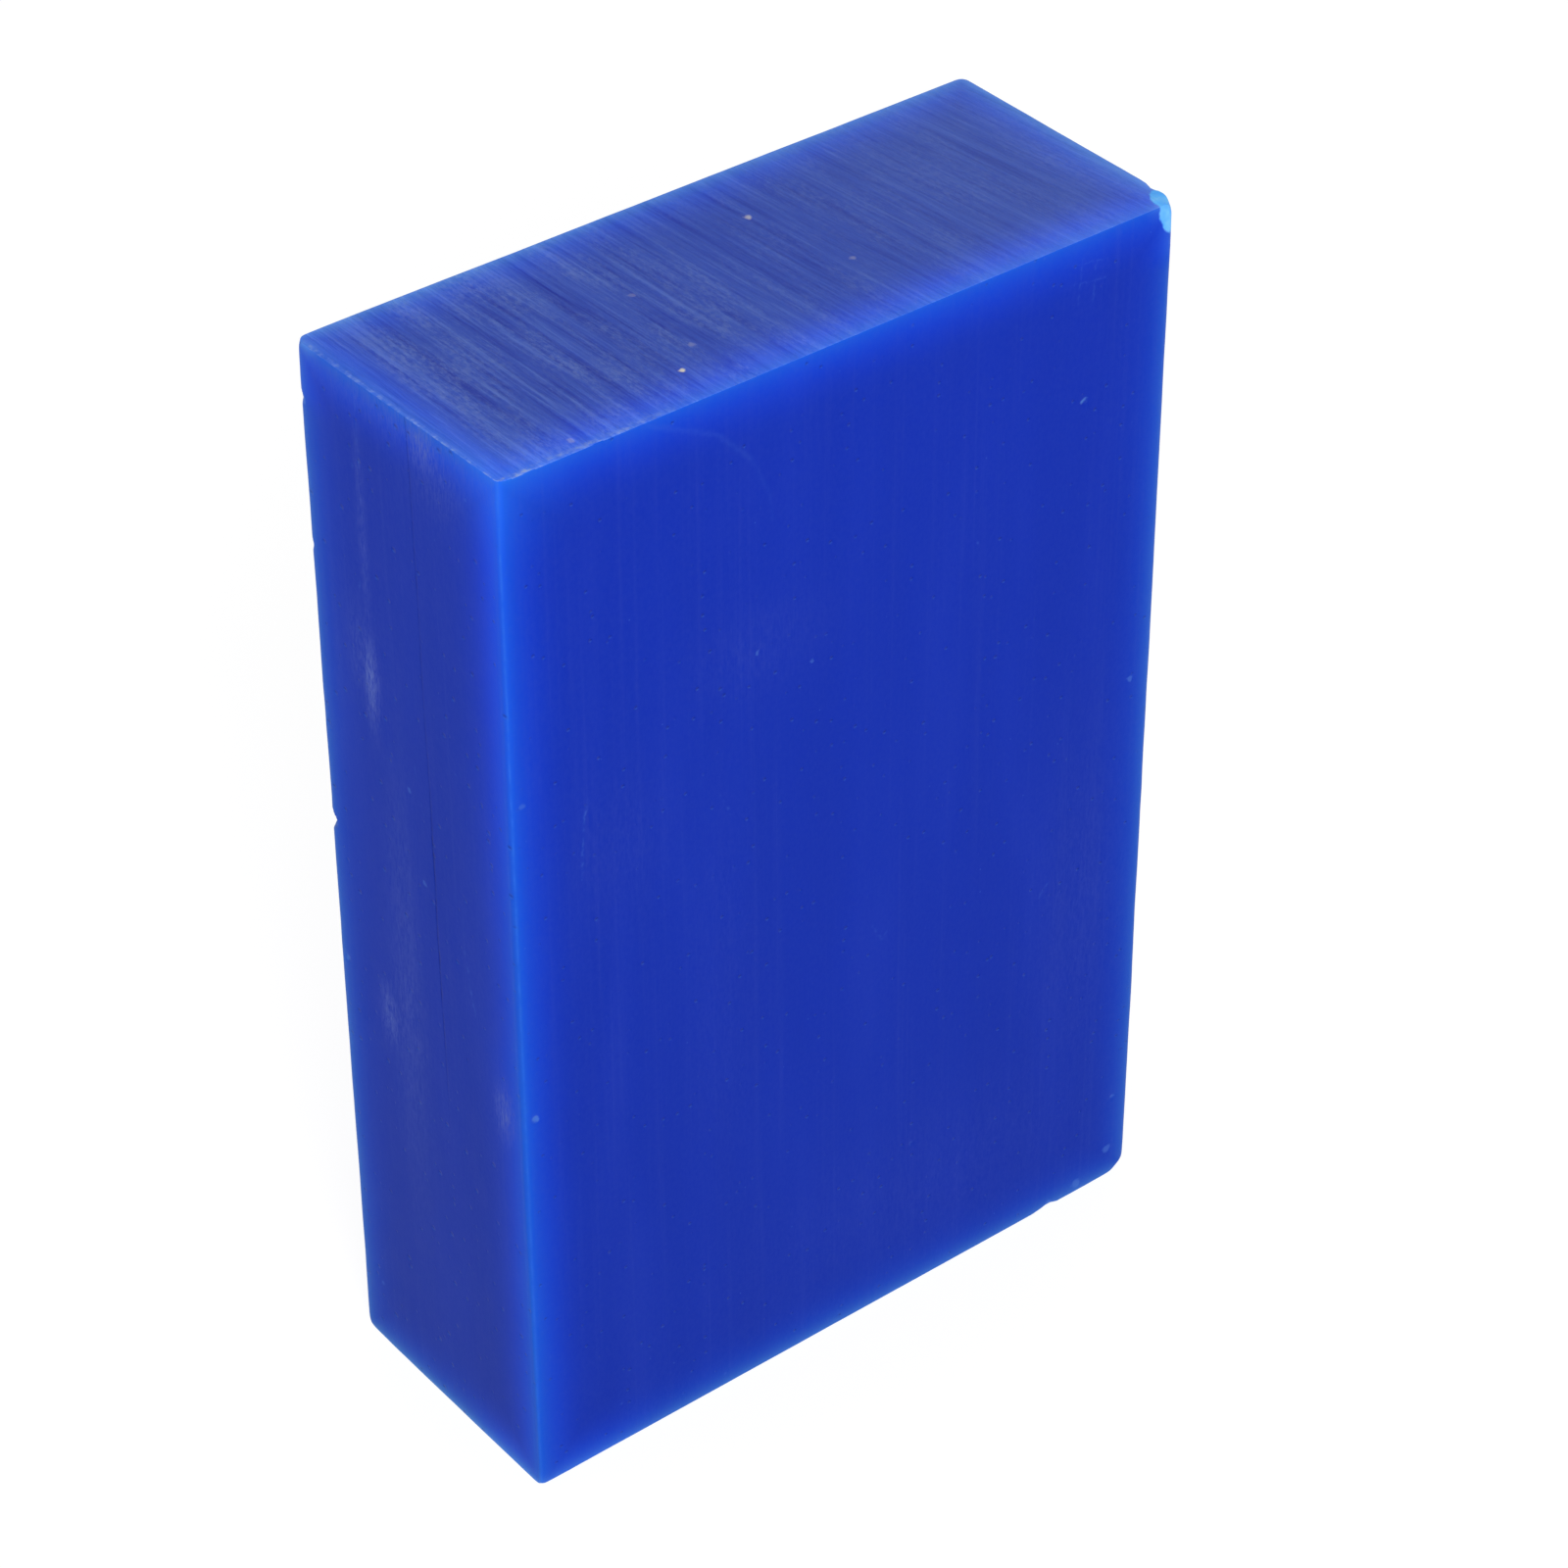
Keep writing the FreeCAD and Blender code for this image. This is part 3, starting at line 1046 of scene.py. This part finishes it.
def ridge_highlights(surface):
    """Two thin painted highlights along the rounded front left edge, brighter towards the top."""
    turn = (surface.x + HALF_X) - (surface.y + HALF_Y)
    near = 1.0 - (surface.x + surface.y + (HALF_X + HALF_Y)).rise(0.9, 2.2)
    waver = surface.noise((400, 400, 5), 2.2, detail=2.0) * 0.1
    patchy = surface.noise((400, 400, 2.4), 5.1, detail=3.0).rise(-0.9, 0.9)
    lines = (turn + 0.1 + waver).bell(0.2) + (turn + 1.15 + waver).bell(0.16) * 0.6
    return lines * near * patchy * (surface.z.rise(0.0, HEIGHT) * 0.35 + 0.25)


def burr_mask(surface):
    """The whitish ragged lip along the front and, weaker, the left of the sawn end."""
    across = surface.x + HALF_X
    from_front = surface.y + HALF_Y
    lip = (from_front - 0.4).bell(0.42)
    strong = 1.0 - across.rise(17.0, 26.0) * 0.8 - across.rise(8.0, 10.0) * 0.3
    lip = (lip * strong).most((across - 0.4).bell(0.3) * 0.6)
    ragged = surface.noise((1.1, 0.8, 1.1), 8.0, detail=3.0, rough=0.6).rise(-0.3, 0.6)
    return lip * ragged


def cast_finish(surface, face, colour):
    """Colour, extra roughness and relief of one cast face."""
    tree = surface.tree
    point = wandering_point(surface)
    scuffs = scuff_mask(surface, face)
    lines = line_mask(surface, face, point)
    specks = speck_mask(surface, face, point)
    streak = surface.noise((0.8, 0.8, 60), 4.0, detail=3.0, rough=0.6)
    pits = Dimples(surface, *PIT_PATTERN)
    dust = Dimples(surface, *DUST_PATTERN, DUST_SHIFT)
    colour = mix(tree, streak.rise(-0.1, 1.3) * 0.07, colour, HAZE)
    colour = mix(tree, scuffs, colour, HAZE)
    # Painted shade on the upper half of each pit and a painted highlight on its lower half.
    colour = mix(tree, pits.inside * pits.upper * 0.5, colour, DARK_LINE_AND_PIT_SHADE)
    colour = mix(tree, pits.inside * (1.0 - pits.upper) * 0.25, colour, BRUISE_AND_PIT_HIGHLIGHT)
    colour = mix(tree, dust.inside * 0.28, colour, BRUISE_AND_PIT_HIGHLIGHT)
    colour = mix(tree, lines * 0.6, colour, BRUISE_AND_PIT_HIGHLIGHT)
    colour = mix(tree, specks * 0.85, colour, BRUISE_AND_PIT_HIGHLIGHT)
    grain = surface.noise((0.5, 0.5, 0.7), 0.0, detail=2.0, rough=0.6)
    colour = mix(tree, grain.rise(-1.0, 1.3) * 0.05, colour, HAZE)
    relief = pits.inside * -0.08 + grain * 0.006
    if face == "left":
        groove = mould_line(surface)
        colour = mix(tree, groove * 0.8, colour, DARK_LINE_AND_PIT_SHADE)
        relief = relief + groove * -0.05
    if face in ("left", "front"):
        # Painted highlights along the rounded front left edge.
        colour = mix(tree, ridge_highlights(surface), colour, RIDGE_HIGHLIGHT)
    return colour, scuffs * 0.15 + lines * 0.1, relief


def sawn_finish(surface, colour):
    """Colour, extra roughness and relief of the sawn end."""
    tree = surface.tree
    point = wandering_point(surface)
    burr = burr_mask(surface)
    colour = mix(tree, burr * 0.9, colour, BURR_PALE)
    colour = mix(tree, speck_mask(surface, "top", point), colour, SPECK_WHITE)
    relief = saw_streaks(surface, 1.0) * 0.07
    grain = surface.noise((0.5, 1.2, 1), 2.0, detail=2.0, rough=0.6)
    return colour, burr * 0.1 + 0.16, relief + grain * 0.04


def chip_colour_and_glow(surface, colour):
    """Pale crushed wax on the broken corner, with painted glow of light through the thin broken
    wax, palest at its ragged border, and painted light where it faces up.
    """
    gap = chip_gap(surface)
    cloud = surface.noise((1.6, 1.6, 1.6), 3.0, detail=2.0).rise(-0.6, 0.9)
    crushed_and_glow = mix(surface.tree, cloud, CHIP_BLUE_AND_GLOW, CHIP_RIM_AND_GLOW)
    # Painted light: brighter where the break faces up.
    crushed_and_glow = add_light(surface.tree, surface.top, crushed_and_glow, (0.02, 0.08, 0.14))
    return mix(surface.tree, 1.0 - gap.rise(0.9, 1.02), colour, crushed_and_glow)


def wax_material(face):
    """Hard blue wax, with the marks of one face."""
    material = bpy.data.materials.new("blue_wax_" + face)
    material.use_nodes = True
    tree = material.node_tree
    shader = tree.nodes["Principled BSDF"]
    surface = Surface(tree)
    if face == "top":
        colour = edge_light(surface, sawn_colour(surface))
        colour, roughness, relief = sawn_finish(surface, colour)
    else:
        colour = edge_light(surface, cast_colour(surface))
        colour, roughness, relief = cast_finish(surface, face, colour)
    if face != "left":
        colour = chip_colour_and_glow(surface, colour)
    tree.links.new(colour, shader.inputs["Base Color"])
    satin = surface.noise((2.5, 2.5, 4.0), 6.6, detail=3.0, rough=0.6) * 0.05 + 0.46
    connect(tree, satin + roughness, shader.inputs["Roughness"])
    bump = tree.nodes.new("ShaderNodeBump")
    bump.inputs["Strength"].default_value = 1.0
    bump.inputs["Distance"].default_value = MM
    connect(tree, relief, bump.inputs["Height"])
    tree.links.new(bump.outputs[0], shader.inputs["Normal"])
    shader.inputs["IOR"].default_value = 1.44
    shader.inputs["Specular IOR Level"].default_value = 0.03
    shader.inputs["Subsurface Weight"].default_value = 0.25
    shader.inputs["Subsurface Radius"].default_value = (0.15, 0.35, 1.0)
    shader.inputs["Subsurface Scale"].default_value = 1.2 * MM
    return material


def face_slots(mesh):
    """Which of FACES each polygon belongs to."""
    normals = np.zeros(len(mesh.polygons) * 3, np.float32)
    mesh.polygons.foreach_get("normal", normals)
    x, y, z = normals.reshape(-1, 3).T
    slots = np.full(len(x), FACES.index("hidden"))
    slots[(-y >= np.abs(x)) & (-y > 0.3)] = FACES.index("front")
    slots[(-x > np.abs(y)) & (-x > 0.3)] = FACES.index("left")
    slots[z > 0.7] = FACES.index("top")
    return slots


def dress_bar(bar):
    """Gives each face of the bar its own marks."""
    for face in FACES:
        bar.data.materials.append(wax_material(face))
    bar.data.polygons.foreach_set("material_index", face_slots(bar.data).astype(np.int32))


# ---------------------------------------------------------------- stage, light, camera

# How far from the bar the floor starts to rise, and how high it gets, in metres.
FLOOR_REACH = 5.3
SWEEP_RADIUS = 1.7
SWEEP_STEPS = 8
FLOOR_SIDES = 96

# The floor is partly self-lit, so that it comes out white with hardly a shadow.
FLOOR_GREY = (0.2, 0.2, 0.2, 1.0)
WHITE = (1.0, 1.0, 1.0, 1.0)
FLOOR_GLOW = 0.86
STUDIO_LIGHT = 0.5

# The soft box in front of the bar: place and size in metres, power in watts.
KEY_PLACE = (-0.68, -1.09, 1.0)
KEY_POWER = 16.0
KEY_SIZE = 0.6


def make_stage():
    """A plain white floor that sweeps up into a low wall, far behind the bar on every side."""
    mesh = bpy.data.meshes.new("floor")
    points = [(0.0, 0.0, 0.0)]
    for step in range(SWEEP_STEPS + 1):
        bend = math.pi / 2 * step / SWEEP_STEPS
        reach = FLOOR_REACH + SWEEP_RADIUS * math.sin(bend)
        rise = SWEEP_RADIUS * (1 - math.cos(bend))
        for k in range(FLOOR_SIDES):
            turn = 2 * math.pi * k / FLOOR_SIDES
            points.append((reach * math.cos(turn), reach * math.sin(turn), rise))
    faces = [(0, 1 + k, 1 + (k + 1) % FLOOR_SIDES) for k in range(FLOOR_SIDES)]
    for ring in range(SWEEP_STEPS):
        inner = 1 + ring * FLOOR_SIDES
        outer = inner + FLOOR_SIDES
        for k in range(FLOOR_SIDES):
            after = (k + 1) % FLOOR_SIDES
            faces.append((inner + k, outer + k, outer + after, inner + after))
    mesh.from_pydata(points, [], faces)
    mesh.shade_smooth()
    floor = bpy.data.objects.new("floor", mesh)
    bpy.context.scene.collection.objects.link(floor)
    material = bpy.data.materials.new("floor_white")
    material.use_nodes = True
    shader = material.node_tree.nodes["Principled BSDF"]
    shader.inputs["Base Color"].default_value = FLOOR_GREY
    shader.inputs["Roughness"].default_value = 1.0
    shader.inputs["Specular IOR Level"].default_value = 0.0
    shader.inputs["Emission Color"].default_value = WHITE
    shader.inputs["Emission Strength"].default_value = FLOOR_GLOW
    mesh.materials.append(material)


def make_world():
    """Even white studio surroundings."""
    world = bpy.data.worlds.new("studio")
    world.use_nodes = True
    background = world.node_tree.nodes["Background"]
    background.inputs["Color"].default_value = WHITE
    background.inputs["Strength"].default_value = STUDIO_LIGHT
    bpy.context.scene.world = world


def soft_light(name, place, power, size):
    """A square soft box aimed at the middle of the bar."""
    lamp = bpy.data.lights.new(name, "AREA")
    lamp.energy = power
    lamp.size = size
    light = bpy.data.objects.new(name, lamp)
    bpy.context.scene.collection.objects.link(light)
    light.location = place
    aim = Vector(place) - Vector((0, 0, HEIGHT * MM / 2))
    light.rotation_mode = "QUATERNION"
    light.rotation_quaternion = aim.to_track_quat("Z", "Y")


# Where the camera stands, seen from the middle of the bar, and which way it looks:
# angles in degrees, distance in metres, lens and sensor in millimetres.
CAMERA_TURN = -37.874
CAMERA_RISE = 36.655
CAMERA_DISTANCE = 0.5506
LOOK_TURN = -38.394
LOOK_RISE = 36.570
LOOK_ROLL = -0.169
LENS = 108.68
SENSOR = 36.0


def direction(turn, rise):
    """The direction at a turn round the bar and a rise above the floor."""
    a, e = math.radians(turn), math.radians(rise)
    return Vector((math.sin(a) * math.cos(e), -math.cos(a) * math.cos(e), math.sin(e)))


def make_camera():
    """A long lens a little above the bar, towards its front left edge."""
    data = bpy.data.cameras.new("camera")
    data.lens = LENS
    data.sensor_width = SENSOR
    camera = bpy.data.objects.new("camera", data)
    bpy.context.scene.collection.objects.link(camera)
    middle = Vector((0, 0, HEIGHT * MM / 2))
    camera.location = middle + direction(CAMERA_TURN, CAMERA_RISE) * CAMERA_DISTANCE
    facing = direction(LOOK_TURN, LOOK_RISE).to_track_quat("Z", "Y").to_matrix()
    roll = Matrix.Rotation(math.radians(LOOK_ROLL), 3, "Z")
    camera.rotation_mode = "QUATERNION"
    camera.rotation_quaternion = (facing @ roll).to_quaternion()
    bpy.context.scene.camera = camera


def main():
    bpy.context.scene.view_settings.view_transform = "Standard"
    bar = make_bar()
    dress_bar(bar)
    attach(bar, "root")
    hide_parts("wax_bar")
    make_stage()
    make_world()
    soft_light("key", KEY_PLACE, KEY_POWER, KEY_SIZE)
    make_camera()


main()
